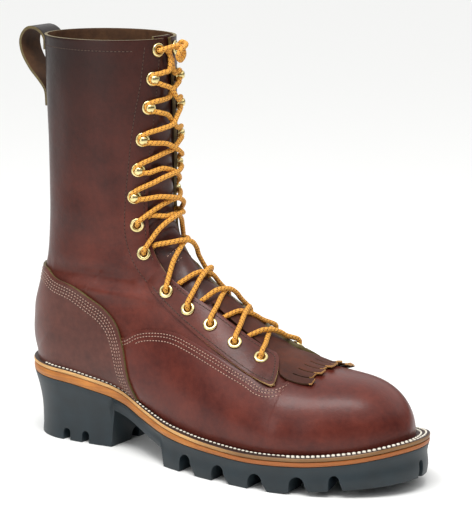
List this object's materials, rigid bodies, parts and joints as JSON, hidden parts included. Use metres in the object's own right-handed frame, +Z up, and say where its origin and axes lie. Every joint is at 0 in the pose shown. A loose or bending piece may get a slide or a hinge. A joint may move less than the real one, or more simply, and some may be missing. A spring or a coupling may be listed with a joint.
{
  "type": "lineman boot",
  "caption": "Tall lace-up work boot for the right foot: hollow leather upper, fringed kiltie, eyelets and hooks, stitched welt, block heel and lugged rubber sole.",
  "frame": {"origin": "middle of the boot's box in plan, on the floor under heel and forefoot", "axes": "+X towards the toe, +Y towards the medial side, +Z up"},
  "size_m": [0.333, 0.1168, 0.2995],
  "materials": {
    "brown_leather": "satin",
    "red_brown_leather": "polished",
    "matte_leather": "matte",
    "tan_edge": "satin",
    "buff_board": "matte",
    "rubber": "matte",
    "brass": "polished",
    "lace": "woven"
  },
  "bodies": {
    "root": {"outsole": "rubber", "midsole": "tan_edge", "welt": "tan_edge", "insole": "buff_board", "upper": "brown_leather", "counter": "brown_leather", "vamp": "red_brown_leather", "eyestay_lateral": "brown_leather", "eyestay_medial": "brown_leather", "tongue": "brown_leather", "kiltie": "matte_leather", "backstay": "brown_leather", "pull_loop": "brown_leather", "eyelet_lateral_1": "brass", "eyelet_lateral_2": "brass", "eyelet_lateral_3": "brass", "eyelet_lateral_4": "brass", "eyelet_lateral_5": "brass", "eyelet_lateral_6": "brass", "eyelet_lateral_7": "brass", "eyelet_lateral_8": "brass", "hook_lateral_1": "brass", "hook_lateral_2": "brass", "hook_lateral_3": "brass", "hook_lateral_4": "brass", "hook_lateral_5": "brass", "eyelet_medial_1": "brass", "eyelet_medial_2": "brass", "eyelet_medial_3": "brass", "eyelet_medial_4": "brass", "eyelet_medial_5": "brass", "eyelet_medial_6": "brass", "eyelet_medial_7": "brass", "eyelet_medial_8": "brass", "hook_medial_1": "brass", "hook_medial_2": "brass", "hook_medial_3": "brass", "hook_medial_4": "brass", "hook_medial_5": "brass", "lace_crossing_01": "lace", "lace_crossing_02": "lace", "lace_crossing_03": "lace", "lace_crossing_04": "lace", "lace_crossing_05": "lace", "lace_crossing_06": "lace", "lace_crossing_07": "lace", "lace_crossing_08": "lace", "lace_crossing_09": "lace", "lace_crossing_10": "lace", "lace_crossing_11": "lace", "lace_crossing_12": "lace", "lace_knot": "lace"}
  },
  "joints": []
}
